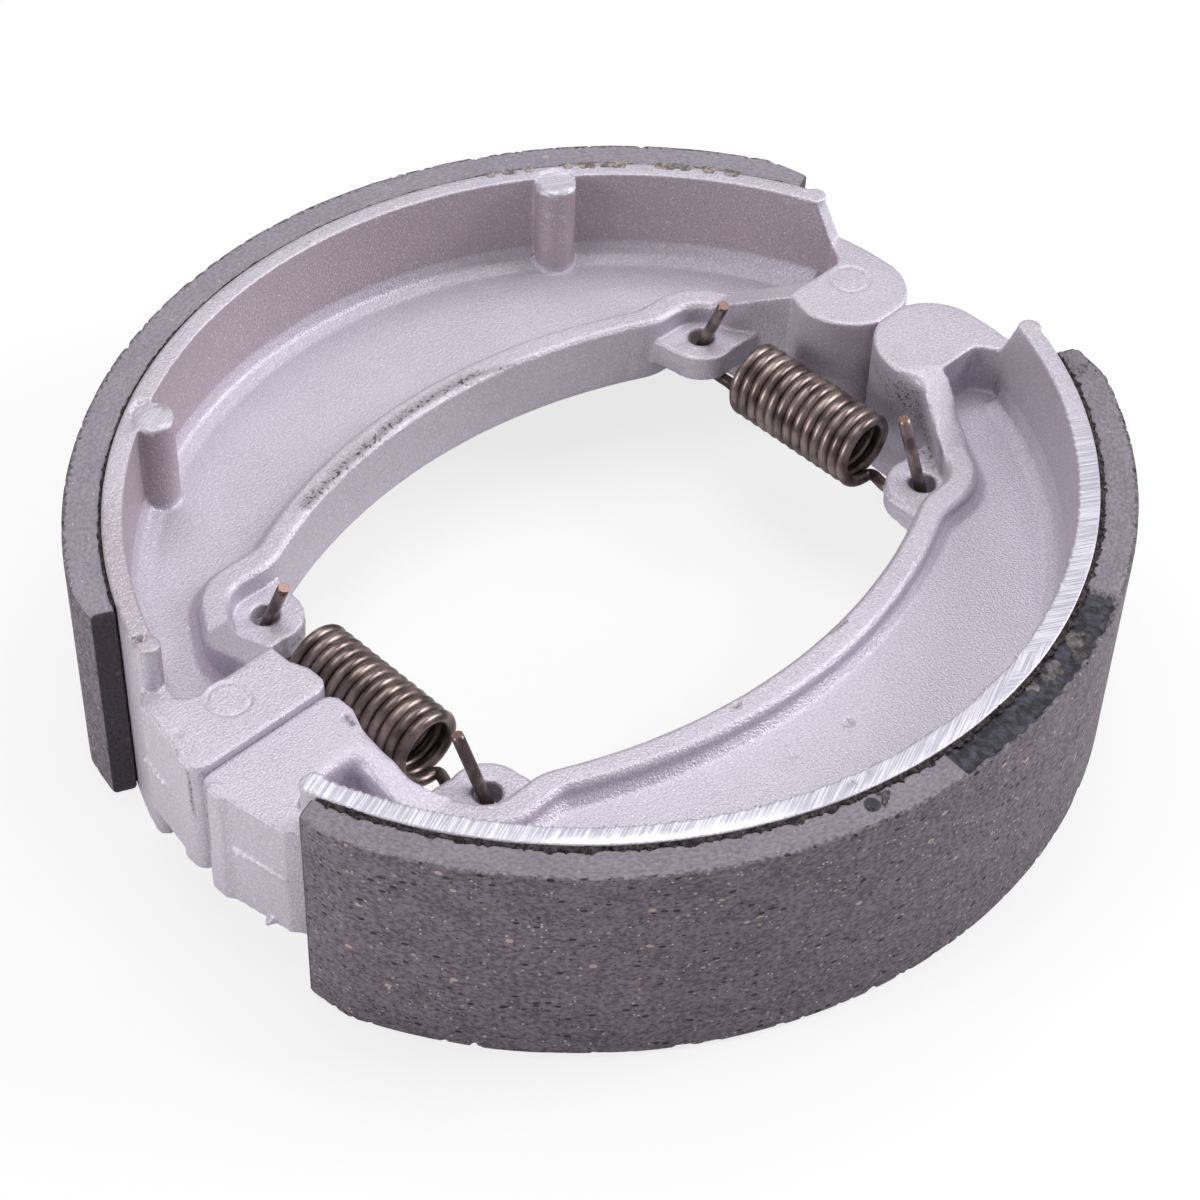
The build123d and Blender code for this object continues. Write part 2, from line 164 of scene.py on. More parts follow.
def true_the_rim(places):
    """The rim's free walls take their exact form, a bar of rounded rectangular section bent round the arc."""
    half_across = (RIM_OUTER_R - RIM_INNER_R) / 2
    degrees, radius = round_the_arc(places)
    section = np.stack([radius - RIM_MIDDLE_R, places[:, 2]], 1)
    free = (degrees > RIM_FROM) & (degrees < RIM_TO) & (np.abs(section[:, 1]) > RIM_WALL_FROM)
    free &= np.abs(section[:, 0]) < half_across + 0.22 * MM
    under_edge = (section[:, 1] > 0) & (section[:, 1] < RIM_HALF_HEIGHT - POST_MARGIN)
    for post_x, post_y in POSTS:
        at_post = plan_distance(places, post_x, post_y) < POST_R + POST_MARGIN
        free &= ~(at_post & (section[:, 0] < 0) & under_edge)
    trued = nearest_on_bar(section[free], half_across, RIM_HALF_HEIGHT, RIM_EDGE_ROUNDING)
    scale = (RIM_MIDDLE_R + trued[:, 0]) / radius[free]
    places[free, 0] *= scale
    places[free, 1] = (places[free, 1] + ARC_DROP) * scale - ARC_DROP
    places[free, 2] = trued[:, 1]


def true_a_post(places, post_x, post_y):
    """A post's free side becomes a true cylinder and its top a flat disc, a little below the rim's edge."""
    radius = plan_distance(places, post_x, post_y)
    clear_of_rim = plan_distance(places, 0, -ARC_DROP) < RIM_INNER_R - 0.45 * MM
    above_fillet = places[:, 2] > WEB_TOP + 0.9 * MM
    side = clear_of_rim & above_fillet & (radius > 0.01 * MM) & (radius < POST_R + 0.45 * MM)
    section = np.stack([radius[side], places[side, 2] - WEB_TOP], 1)
    trued = nearest_on_bar(section, POST_R, POST_TOP - WEB_TOP, POST_EDGE_ROUNDING)
    scale = trued[:, 0] / radius[side]
    places[side, 0] = post_x + (places[side, 0] - post_x) * scale
    places[side, 1] = post_y + (places[side, 1] - post_y) * scale
    places[side, 2] = WEB_TOP + trued[:, 1]
    top = (radius < POST_R) & (places[:, 2] > POST_TOP - 0.3 * MM)
    places[top, 2] = POST_TOP


def settle_on_cylinder(places, centre_y, radius, reach, chosen):
    """Vertices within reach of an upright cylinder are moved onto it: their distance from its axis becomes
    the radius."""
    distance = plan_distance(places, 0, centre_y)
    near = chosen & (np.abs(distance - radius) < reach)
    scale = radius / distance[near]
    places[near, 0] *= scale
    places[near, 1] = centre_y + (places[near, 1] - centre_y) * scale


def by_pin_mark(places, mark, margin):
    """Which vertices lie on the block's or the nose's top, within a margin of a pin mark."""
    on_top = places[:, 2] > BLOCK_TOP - 0.45 * MM
    return on_top & (plan_distance(places, *mark) < PIN_MARK_R + margin)


def sink_pin_marks(places):
    """Each ejector pin left a ring-shaped groove in the block's or the nose's top, its face a shade lower."""
    for mark in PIN_MARKS:
        inside = by_pin_mark(places, mark, 0.6 * MM)
        distance = plan_distance(places[inside], *mark)
        groove = np.clip(1 - np.abs(distance - PIN_MARK_R) / PIN_GROOVE_HALF_WIDTH, 0, 1)
        face = np.clip((PIN_MARK_R - distance) / (0.15 * MM), 0, 1)
        places[inside, 2] = BLOCK_TOP - PIN_GROOVE_DEPTH * groove - PIN_FACE_DEPTH * face


def waves(phase, *terms):
    """Slow irregular values from -1 to 1: the mean of sines, one per pair of radians per metre and values."""
    total = sum(np.sin(turns * values + phase + 2.3 * k) for k, (turns, values) in enumerate(terms))
    return total / len(terms)


def along_line(places, points, reach):
    """1 on a line through the points, falling smoothly to 0 at reach from it, by the distance to its nearest
    stretch. Points and reach are in millimetres."""
    nearest = np.full(len(places), np.inf)
    for a, b in zip(points[:-1], points[1:]):
        a, b = np.array(a) * MM, np.array(b) * MM
        t = np.clip((places - a) @ (b - a) / ((b - a) @ (b - a)), 0, 1)
        nearest = np.minimum(nearest, np.linalg.norm(places - a - t[:, None] * (b - a), axis=1))
    share = np.clip(1 - nearest / (reach * MM), 0, 1)
    return share * share * (3 - 2 * share)


def along_any(places, lines):
    return np.max([along_line(places, points, reach) for points, reach in lines], 0)


# Corners that the real casting blends softly, as middle and reach in millimetres, in its own way up: ramps
# from the block and the nose down to the rib, and the pockets beside them, on the side without posts
SOFT_CORNERS = (
    ((-36.8, 7.6, -6.6), 2.6),
    ((-39.4, 7.6, -6.4), 2.6),
    ((-41.6, 7.4, -6.0), 2.4),
    ((-37.6, 10.5, -3.8), 2.6),
    ((37.7, 8.7, -6.6), 2.4),
    ((36.4, 12.8, -4.6), 2.4),
)
SOFTENING_ROUNDS = 70


def soften_corners(mesh, own):
    """Vertices within reach of a soft corner move towards the mean of their neighbours, round after round."""
    chosen = np.zeros(len(own))
    for middle, reach in SOFT_CORNERS:
        gap = np.linalg.norm(own - np.array(middle) * MM, axis=1)
        chosen = np.maximum(chosen, np.clip(2 - 2 * gap / (reach * MM), 0, 1))
    pairs = np.empty(len(mesh.edges) * 2, np.int64)
    mesh.edges.foreach_get("vertices", pairs)
    pairs = pairs.reshape(-1, 2)
    pairs = pairs[(chosen[pairs[:, 0]] > 0) | (chosen[pairs[:, 1]] > 0)]
    both = np.concatenate([pairs, pairs[:, ::-1]])
    from_chosen, to_neighbour = both[chosen[both[:, 0]] > 0].T
    count = np.bincount(from_chosen, minlength=len(own))
    moving = count > 0
    for _ in range(SOFTENING_ROUNDS):
        sums = [np.bincount(from_chosen, own[to_neighbour, axis], len(own)) for axis in range(3)]
        mean = np.stack(sums, 1)[moving] / count[moving, None]
        own[moving] += (mean - own[moving]) * (0.6 * chosen[moving, None])


# Marks on each casting: points in the casting's own way up, reach and height, all in millimetres
LEFT_MARKS = (
    # Flash across the cam end's face, a tool step beside it and a chip at its foot
    (((-49.4, 12.6, 0.0), (-50.1, 9.1, 0.1), (-50.8, 5.1, -0.1)), 0.5, 0.55),
    (((-49.9, 9.7, 5.5), (-49.9, 9.7, -2.0)), 0.4, 0.12),
    (((-50.7, 6.0, 0.0), (-50.9, 5.4, 0.0)), 0.6, -0.5),
    # Dent in the block's top edge
    (((-49.6, 4.8, 7.5), (-49.4, 5.0, 7.5)), 0.6, -0.2),
    # Gouge in the rim's edge beside a post, and the notch at the rim's cam end
    (((-26.5, 37.4, 12.65), (-27.5, 37.7, 12.65), (-28.6, 37.2, 12.65), (-29.3, 36.3, 12.65)), 0.4, -0.45),
    (((-47.2, 12.35, 12.65), (-48.0, 12.65, 12.65)), 0.5, -1.1),
    # Pit in the web, ridge on the anchor-side post and chip in the rib's wall
    (((-37.2, 18.9, 1.75), (-37.1, 19.0, 1.75)), 0.4, -0.3),
    (((25.6, 34.7, 9.3), (26.1, 33.9, 9.5), (26.9, 33.4, 9.2)), 0.3, 0.2),
    (((-13.7, 23.2, 0.2), (-12.2, 23.5, 0.0)), 0.3, -0.2),
)
RIGHT_MARKS = (
    # Flash across the cam end's face and the burr that hangs from it
    (((-50.9, 4.1, 0.0), (-50.1, 10.1, 0.1)), 0.5, 0.6),
    (((-50.1, 7.6, 7.2), (-50.0, 8.1, 7.0)), 0.5, 1.1),
    # Notch in the block's inner edge and a bead on its outer one
    (((-36.6, 3.3, -6.6), (-36.7, 4.3, -6.6)), 0.45, -0.6),
    (((-50.9, 1.3, -6.6), (-50.4, 1.9, -6.6)), 0.5, 0.2),
    # Two pits in the web and a chip in the rim's edge
    (((0.0, 32.8, -1.75), (0.05, 32.8, -1.75)), 0.75, -0.6),
    (((-6.8, 32.1, -1.75), (-6.75, 32.1, -1.75)), 0.5, -0.25),
    (((-13.1, 43.7, -12.65), (-13.0, 43.7, -12.65)), 0.4, -0.5),
    # Flash round the anchor-side lug and two chips on the rib's crest
    (((27.3, 13.3, -0.9), (26.8, 14.8, -0.9), (26.4, 16.2, -0.9), (26.0, 17.7, -0.8)), 0.5, 0.6),
    (((-7.8, 25.4, -4.0), (-7.7, 25.4, -4.0)), 0.5, -0.3),
    (((6.0, 25.0, -4.0), (8.0, 24.9, -4.0)), 0.4, -0.2),
)
# Where dark grit stayed in the skin, painted shade along a step on the cam end's face and in pits, notches
# and chips, and brown stains of the heat-cured adhesive on the rim: points and reach
LEFT_GRIT_AND_PAINTED_SHADE = (
    (((-19.2, 22.6, 4.0), (-12.5, 24.3, 4.0), (-4.0, 25.9, 4.0), (2.2, 26.0, 4.0), (6.3, 25.4, 4.0)), 1.0),
    (((6.3, 25.4, 4.0), (19.4, 21.4, 4.0), (24.3, 19.4, 4.0)), 0.6),
    (((-27.0, 12.9, 0.0), (-29.5, 11.9, 0.0)), 1.8),
    # Painted shade along the step on the cam end's face and in the notch at the rim's cam end
    (((-51.4, 1.2, 6.8), (-51.4, 1.0, 1.0)), 0.35),
    (((-47.2, 12.35, 12.4), (-48.0, 12.65, 12.4)), 0.55),
)
RIGHT_GRIT_AND_PAINTED_SHADE = (
    (((38.4, 4.2, -5.0), (36.6, 8.4, -4.2), (35.3, 12.5, -2.2), (34.6, 14.6, -0.6)), 3.1),
    # Painted shade along the step on the cam end's face, in two chips on the rib's crest, in a pit in the web
    # and in the notch in the block's inner edge
    (((-51.4, 1.2, -6.8), (-51.4, 1.0, 2.0)), 0.35),
    (((-7.8, 25.4, -4.0), (-6.1, 26.2, -4.0)), 0.5),
    (((6.0, 24.9, -4.0), (8.0, 24.9, -4.0)), 0.5),
    (((0.0, 32.8, -1.9), (0.05, 32.8, -1.9)), 0.45),
    (((-36.6, 3.3, -6.4), (-36.7, 4.3, -6.4)), 0.4),
)
STAINS = (
    (((-46.0, 18.9, 12.65), (-46.1, 18.8, 12.65)), 0.8),
    (((-46.7, 18.1, 12.65), (-46.8, 18.0, 12.65)), 0.7),
    (((-46.4, 16.9, 12.65), (-46.5, 16.8, 12.65)), 0.6),
)
WAVINESS = 0.012 * MM
CUTTER_TOOTH = 0.3 * MM
CUTTER_FROM = 0.65  # radians round the arc
PARTING_FLASH = 0.14 * MM
PARTING_HALF_WIDTH = 0.22 * MM


def age_the_skin(mesh, own, marks, phase):
    """Shifts along the surface normals: a faint waviness, fine teeth on the cut edge's inner corner, the
    parting line's flash on upright walls, and the marks."""
    normals = vectors_of(mesh.vertex_normals, "vector")
    x, y, z = own.T
    shift = WAVINESS * waves(phase, (900, x + y), (1300, y - z), (1700, z + 0.6 * x))
    radius = plan_distance(own, 0, -ARC_DROP)
    cut_edge = (z < -RIM_HALF_HEIGHT + 0.3 * MM) & (np.arctan2(y + ARC_DROP, x) > CUTTER_FROM)
    teeth = np.clip(waves(phase, (12500, x + 0.4 * y), (8300, y), (19000, x - y)), 0, 1)
    shift += CUTTER_TOOTH * teeth * cut_edge * (radius < RIM_INNER_R + RIM_EDGE_ROUNDING)
    upright = np.clip(1 - np.abs(normals[:, 2]) / 0.4, 0, 1)
    patchy = np.clip(0.45 + 0.9 * waves(phase, (700, x), (1900, x + 0.4 * y), (3700, x - y)), 0.05, 1)
    parting = np.clip(1 - np.abs(z) / PARTING_HALF_WIDTH, 0, 1)
    shift += PARTING_FLASH * parting * upright * patchy * (radius < RIM_INNER_R - 1 * MM)
    for points, reach, height in marks:
        uneven = 0.75 + 0.25 * waves(phase, (9000, x), (8000, y))
        shift += height * MM * along_line(own, points, reach) * uneven
    return normals * shift[:, None]


def shape_the_skin(mesh, side, marks):
    """Trues the walls that the even squares blurred, ages the skin and thins it where it is flat."""
    own = own_way_up(mesh, side)
    soften_corners(mesh, own)
    degrees = round_the_arc(own)[0]
    between_ends = (degrees > RIM_FROM) & (degrees < RIM_TO)
    settle_on_cylinder(own, -ARC_DROP, RIM_OUTER_R, 0.15 * MM, between_ends)
    rib_wall = (np.abs(own[:, 0]) < RIB_WALL_HALF_LENGTH) & (np.abs(own[:, 2]) < RIB_WALL_TO)
    settle_on_cylinder(own, RIB_CENTRE_Y, RIB_INNER_R, 0.1 * MM, rib_wall)
    true_the_rim(own)
    for post in POSTS:
        true_a_post(own, *post)
    sink_pin_marks(own)
    as_it_lies = own * [1, side, side]
    move_vertices(mesh, as_it_lies)
    shifts = age_the_skin(mesh, own, marks, 0.7 + side)
    move_vertices(mesh, as_it_lies + shifts + [0, 0, MIDDLE_Z])
    by_marks = np.any([by_pin_mark(own, mark, 0.7 * MM) for mark in PIN_MARKS], 0)
    return thinned(mesh, SKIN_TRIANGLES, by_marks)


def point_values(mesh, name, values):
    layer = mesh.attributes.new(name, "FLOAT", "POINT")
    layer.data.foreach_set("value", np.asarray(values, np.float32))


def mark_the_skin(mesh, side, grit_and_painted_shade):
    """Gives the material its shares from 0 to 1: the machined rim edge and post tops, the edge's burnished
    outer half, painted shade on the walls deep in the channel and beside the nose together with a stain on
    the rim's top edge at the cam end, the stains, and the grit with painted shade in some dents and along a
    step."""
    own = own_way_up(mesh, side)
    height = own[:, 2]
    degrees, radius = round_the_arc(own)
    edge = np.clip((-height - RIM_HALF_HEIGHT + 0.09 * MM) / (0.06 * MM), 0, 1)
    cut = edge * np.clip((degrees - 33) / 12, 0, 1) * (radius > RIM_INNER_R - 0.3 * MM)
    burnished = cut * np.clip((radius - 50.15 * MM) / (0.15 * MM), 0, 1)
    burnished *= np.clip((degrees - 111) / 4, 0, 1) * np.clip((139 - degrees) / 4, 0, 1)
    for post in POSTS:
        on_top = (plan_distance(own, *post) < POST_R + 0.1 * MM) & (np.abs(height - POST_TOP) < 0.08 * MM)
        cut = np.maximum(cut, 0.5 * on_top)
    beyond_rib = plan_distance(own, 0, RIB_CENTRE_Y) > RIB_INNER_R + RIB_WIDTH
    # Painted shade: the upright walls deep in the channel and beside the nose are darkened, more on the left
    # shoe than on the right
    in_channel = beyond_rib & (radius < RIM_INNER_R + 0.25 * MM) & (np.abs(height) > 2.5 * MM)
    beside_nose = np.clip((10 * MM - own[:, 1]) / (4 * MM), 0, 1) * (radius < RIM_INNER_R)
    painted_shade_and_stain = np.maximum(in_channel, beside_nose * np.clip((own[:, 0] - 35 * MM) / (5 * MM), 0, 1))
    upright = np.clip(1.6 - 4 * np.abs(vectors_of(mesh.vertex_normals, "vector")[:, 2]), 0, 1)
    painted_shade_and_stain *= upright * (1.0 if side > 0 else 0.45)
    # The cam end of the rim's top edge is darkened as a brown stain
    cam_end_edge = (height > RIM_HALF_HEIGHT - 0.25 * MM) * np.clip((degrees - 136) / 10, 0, 1)
    point_values(mesh, "painted_shade_and_stain", np.maximum(painted_shade_and_stain, 0.85 * cam_end_edge))
    point_values(mesh, "machined", cut)
    point_values(mesh, "burnished", burnished)
    point_values(mesh, "stain", along_any(own, STAINS))
    point_values(mesh, "grit_and_painted_shade", along_any(own, grit_and_painted_shade))


def make_casting(node, side, marks, grit_and_painted_shade):
    """side is 1 for the left shoe and -1 for the right one, which is the left one turned over."""
    mesh = shape_the_skin(skin_of(node), side, marks)
    mesh.shade_smooth()
    mark_the_skin(mesh, side, grit_and_painted_shade)
    casting = new_object(node.replace("_casting", "_cast_skin"), mesh)
    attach(casting, "left_shoe" if side > 0 else "right_shoe")
    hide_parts(node)
    return casting


def new_material(name, metallic=0.0):
    """A Principled material: returns the material, its node tree, its shader and object coordinates."""
    material = bpy.data.materials.new(name)
    material.use_nodes = True
    tree = material.node_tree
    shader = tree.nodes["Principled BSDF"]
    shader.inputs["Metallic"].default_value = metallic
    coordinates = tree.nodes.new("ShaderNodeTexCoord").outputs["Object"]
    return material, tree, shader, coordinates


def dress(obj, material):
    obj.data.materials.clear()
    obj.data.materials.append(material)


def plug(value, socket):
    """Feeds a socket from another socket, or sets it to a plain value."""
    if hasattr(value, "is_output"):
        socket.id_data.links.new(value, socket)
    else:
        socket.default_value = value


def new_node(tree, kind, inputs, **settings):
    """A shader node with its settings and inputs: returns its outputs."""
    node = tree.nodes.new("ShaderNode" + kind)
    for name, value in settings.items():
        setattr(node, name, value)
    for name, value in inputs.items():
        plug(value, node.inputs[name])
    return node.outputs


def math_node(tree, operation, *values):
    """One Math node; its values are sockets or plain numbers."""
    return new_node(tree, "Math", dict(enumerate(values)), operation=operation)["Value"]


def times(tree, a, b):
    return math_node(tree, "MULTIPLY", a, b)


def noise_node(tree, place, scale, detail, stretch=None, turn=0.0):
    """Noise from 0 to 1 at a place; stretch scales the axes first, after a turn about Z in degrees."""
    if stretch is not None:
        inputs = {"Vector": place, "Rotation": (0, 0, math.radians(turn)), "Scale": stretch}
        place = new_node(tree, "Mapping", inputs, vector_type="TEXTURE")["Vector"]
    return new_node(tree, "TexNoise", {"Vector": place, "Scale": scale, "Detail": detail})["Fac"]


def above(tree, value, start, full):
    """0 up to start, 1 from full on, straight between."""
    return new_node(tree, "MapRange", {"Value": value, "From Min": start, "From Max": full})["Result"]


def mix_colour(tree, share, a, b):
    """Colour a where share is 0 and b where it is 1; each is a socket or a plain (r, g, b)."""
    a, b = (colour if hasattr(colour, "is_output") else (*colour, 1) for colour in (a, b))
    return new_node(tree, "Mix", {"Factor": share, "A": a, "B": b}, data_type="RGBA")["Result"]


def tinted(tree, colour, mask, strength, tint):
    """The colour, mixed with a tint by mask times strength."""
    return mix_colour(tree, times(tree, mask, strength), colour, tint)


def point_value(tree, name, output="Fac"):
    return new_node(tree, "Attribute", {}, attribute_name=name)[output]


def bumped(tree, height, distance, strength, under=None):
    """Normal bent by a height from 0 to 1 that stands for the given distance."""
    inputs = {"Strength": strength, "Distance": distance, "Height": height}
    if under is not None:
        inputs["Normal"] = under
    return new_node(tree, "Bump", inputs)["Normal"]


def cutter_scratches(tree, place):
    """The cutter's straight scratches across a machined edge, as a height from 0 to 1. They lie one way near
    the anchor end and another way from there to the cam end, with an uneven border between."""
    anchor_side = noise_node(tree, place, 420.0, 3.0, stretch=(2.4, 0.06, 1.0), turn=-30.0)
    cam_side = noise_node(tree, place, 420.0, 3.0, stretch=(2.4, 0.06, 1.0), turn=22.0)
    along_x = new_node(tree, "SeparateXYZ", {"Vector": place})["X"]
    border = math_node(tree, "MULTIPLY_ADD", noise_node(tree, place, 160.0, 1.0), 0.03, along_x)
    share = above(tree, border, 0.0255, 0.0245)
    return new_node(tree, "Mix", {"Factor": share, "A": anchor_side, "B": cam_side})["Result"]


def cast_aluminium(name, pale, dark):
    """Blasted die casting: fine grain with painted glints on its peaks and painted shade in its hollows,
    browner where painted shade darkens the walls deep in the channel and beside the nose and where a stain
    lies on the rim's top edge at the cam end, dark grit and painted shade in dents where marked, and the
    rim's cut edge bluish and bright."""
    material, tree, shader, coordinates = new_material(name, metallic=0.5)
    grain = noise_node(tree, coordinates, 5200.0, 2.0)
    coarse = noise_node(tree, coordinates, 2500.0, 2.0)
    pebbled = noise_node(tree, coordinates, 3900.0, 1.0)
    slow = noise_node(tree, coordinates, 110.0, 4.0)
    skin = mix_colour(tree, slow, dark, pale)
    # Painted shade on the walls deep in the channel and beside the nose, and a stain on the rim's top edge at
    # the cam end
    skin = tinted(tree, skin, point_value(tree, "painted_shade_and_stain"), 0.85, (0.48, 0.40, 0.44))
    # Painted shade in the grain's hollows and painted glints on its peaks
    skin = tinted(tree, skin, above(tree, grain, 0.46, 0.34), 0.3, (0.30, 0.27, 0.30))
    skin = tinted(tree, skin, above(tree, grain, 0.56, 0.68), 0.4, (0.95, 0.93, 0.98))
    # Dark grit where marked, with painted shade in the marked step, pits, notches and chips
    grit_and_painted_shade = point_value(tree, "grit_and_painted_shade")
    skin = tinted(tree, skin, grit_and_painted_shade, 0.6, (0.16, 0.14, 0.16))
    skin = tinted(tree, skin, grit_and_painted_shade, above(tree, coarse, 0.56, 0.62), (0.07, 0.06, 0.065))
    skin = tinted(tree, skin, point_value(tree, "stain"), 0.5, (0.24, 0.19, 0.13))
    cut = point_value(tree, "machined")
    scratch = above(tree, cutter_scratches(tree, coordinates), 0.42, 0.58)
    metal = mix_colour(tree, scratch, (0.47, 0.46, 0.53), (0.72, 0.71, 0.79))
    burnished = point_value(tree, "burnished")
    metal = tinted(tree, metal, burnished, 0.8, (0.84, 0.83, 0.9))
    plug(mix_colour(tree, cut, skin, metal), shader.inputs["Base Color"])
    roughness = math_node(tree, "MULTIPLY_ADD", slow, 0.2, 0.38)
    plug(math_node(tree, "MULTIPLY_ADD", cut, -0.02, roughness), shader.inputs["Roughness"])
    blasted = math_node(tree, "MULTIPLY_ADD", pebbled, 0.9, grain)
    blasted = times(tree, blasted, math_node(tree, "SUBTRACT", 1.0, cut))
    rough_skin = bumped(tree, blasted, 0.075 * MM, 0.9)
    scored = times(tree, scratch, math_node(tree, "SUBTRACT", cut, burnished))
    plug(bumped(tree, scored, 0.02 * MM, 0.8, rough_skin), shader.inputs["Normal"])
    return material


CAST = cast_aluminium("Cast aluminium, blasted", (0.63, 0.585, 0.675), (0.54, 0.495, 0.578))
for node, side, marks, grit_and_painted_shade in (
    ("left_shoe_casting", 1, LEFT_MARKS, LEFT_GRIT_AND_PAINTED_SHADE),
    ("right_shoe_casting", -1, RIGHT_MARKS, RIGHT_GRIT_AND_PAINTED_SHADE),
):
    dress(make_casting(node, side, marks, grit_and_painted_shade), CAST)


# Friction linings: moulded composite of resin, fibre and filings, bonded round the rims and ground to the
# drum's radius. The long edges are rubbed and chipped, the sawn ends are painted nearly black as shade, and
# the right lining's top has a sunk slate-grey patch with a few flat lumps of resin.
LINING_INNER_R = 51.25 * MM
LINING_OUTER_R = 54.75 * MM
LINING_MIDDLE_R = (LINING_INNER_R + LINING_OUTER_R) / 2
LINING_HALF_THICKNESS = (LINING_OUTER_R - LINING_INNER_R) / 2
LINING_HALF_WIDTH = 12.3 * MM
LINING_TAPER = math.radians(5.0)
LINING_TAPER_DEPTH = 1.25 * MM
LINING_ROWS = 620
# Ends of each lining in degrees round the arc
LEFT_ENDS = (24.6, 155.6)
RIGHT_ENDS = (27.0, 160.9)
# The right lining's top, in degrees round the arc: the slate patch, the small hole with its radius in
# millimetres, the rough first stretch, and the lumps of resin with their radius and reach in millimetres
SLATE_FROM, SLATE_TO = 65.0, 95.1
SLATE_HOLE = (105.0, 52.5)
ROUGH_TO = 33.0
RESIN_LUMPS = (
    (73.2, 52.4, 1.3),
    (74.9, 53.4, 0.7),
    (78.0, 52.1, 1.15),
    (79.6, 52.6, 0.8),
    (81.4, 51.8, 0.7),
    (103.6, 52.3, 0.6),
)
# Sizes of the rings that close each end of a swept solid, as shares of its last ring
CLOSING_RINGS = (0.94, 0.8, 0.6, 0.4, 0.2)


def near_corners(half, corner, fine, plain):
    """Places from -half to half: close together within a millimetre of each end, wide apart between."""
    close = (half - corner) - np.linspace(0, 1, fine) ** 1.4 * min(1.2 * MM, 0.7 * half)
    between = np.linspace(-close[-1], close[-1], plain + 2)[1:-1]
    return np.concatenate([-close, between, close[::-1]])


def bar_section(half_across, half_high, corner):
    """Outline of a bar, once round: (across, high) pairs with their points gathered near the four corners."""
    a = near_corners(half_across, corner, 5, 2)
    h = near_corners(half_high, corner, 9, 18)
    low = np.stack([a, np.full_like(a, -half_high)], 1)
    right = np.stack([np.full_like(h, half_across), h], 1)
    top = np.stack([a[::-1], np.full_like(a, half_high)], 1)
    left = np.stack([np.full_like(h, -half_across), h[::-1]], 1)
    return np.concatenate([low, right, top, left])


def tube_faces(rows, columns):
    """Quads between neighbouring closed rings of points, ring by ring."""
    r, c = np.meshgrid(np.arange(rows - 1), np.arange(columns), indexing="ij")
    n = (c + 1) % columns
    corners = [r * columns + c, r * columns + n, (r + 1) * columns + n, (r + 1) * columns + c]
    return np.stack(corners, -1).reshape(-1, 4)


def solid_from_rings(name, rings):
    """Closed mesh from rings (rows, columns, 3): quads between them, each end closed by shrunken rings."""
    columns = rings.shape[1]
    ends = []
    for ring in (rings[0], rings[-1]):
        middle = ring.mean(0)
        ends.append([middle + (ring - middle) * share for share in CLOSING_RINGS])
    stack = np.array(ends[0][::-1] + list(rings) + ends[1])
    places = stack.reshape(-1, 3)
    faces = tube_faces(len(stack), columns).tolist()
    faces.append(list(range(columns))[::-1])
    faces.append([len(places) - columns + i for i in range(columns)])
    mesh = bpy.data.meshes.new(name)
    mesh.from_pydata(places.tolist(), [], faces)
    mesh.validate()
    return mesh


def ring_values(mesh, name, values):
    """Point values for the rings (rows, columns) of a closed solid; the rings that close its ends get 0."""
    closing = np.zeros((len(CLOSING_RINGS), values.shape[1]))
    point_values(mesh, name, np.concatenate([closing, values, closing]).ravel())


def smooth_noise(count, spacing, seed):
    """Random values from 0 to 1 at every spacing-th place, joined smoothly: blended with s*s*(3 - 2s)."""
    knots = np.random.default_rng(seed).random(int(count / spacing) + 2)
    t = np.arange(count) / spacing
    k = t.astype(int)
    s = t - k
    return knots[k] + (knots[k + 1] - knots[k]) * s * s * (3 - 2 * s)


def worn_corners(rows, seed):
    """Rounding of one long edge, row by row: slow wear plus many small chips and a few large ones."""
    wear = 0.10 + 0.22 * smooth_noise(rows, 9.0, seed) * smooth_noise(rows, 41.0, seed + 1)
    chips = np.clip(smooth_noise(rows, 3.1, seed + 2) - 0.72, 0, 1) * 1.5
    breaks = np.clip(smooth_noise(rows, 7.7, seed + 3) - 0.88, 0, 1) * 6.0
    return (wear + chips + breaks) * MM


def edge_roundings(section, to_end, seed):
    """Rounding for each ring's points: every long edge has its own wear, the inner two half as much, and it
    grows where the edges meet the sawn ends."""
    rounding = np.zeros((LINING_ROWS, len(section)))
    corners = ((False, False, 1.0), (False, True, 0.5), (True, False, 1.0), (True, True, 0.5))
    for k, (upper, inner, share) in enumerate(corners):
        corner = ((section[:, 1] > 0) == upper) & ((section[:, 0] < 0) == inner)
        rounding[:, corner] = (worn_corners(LINING_ROWS, seed + 10 * k) * share)[:, None]
    return rounding + np.clip(0.35 * MM - to_end * LINING_MIDDLE_R, 0, None)[:, None] * 0.9


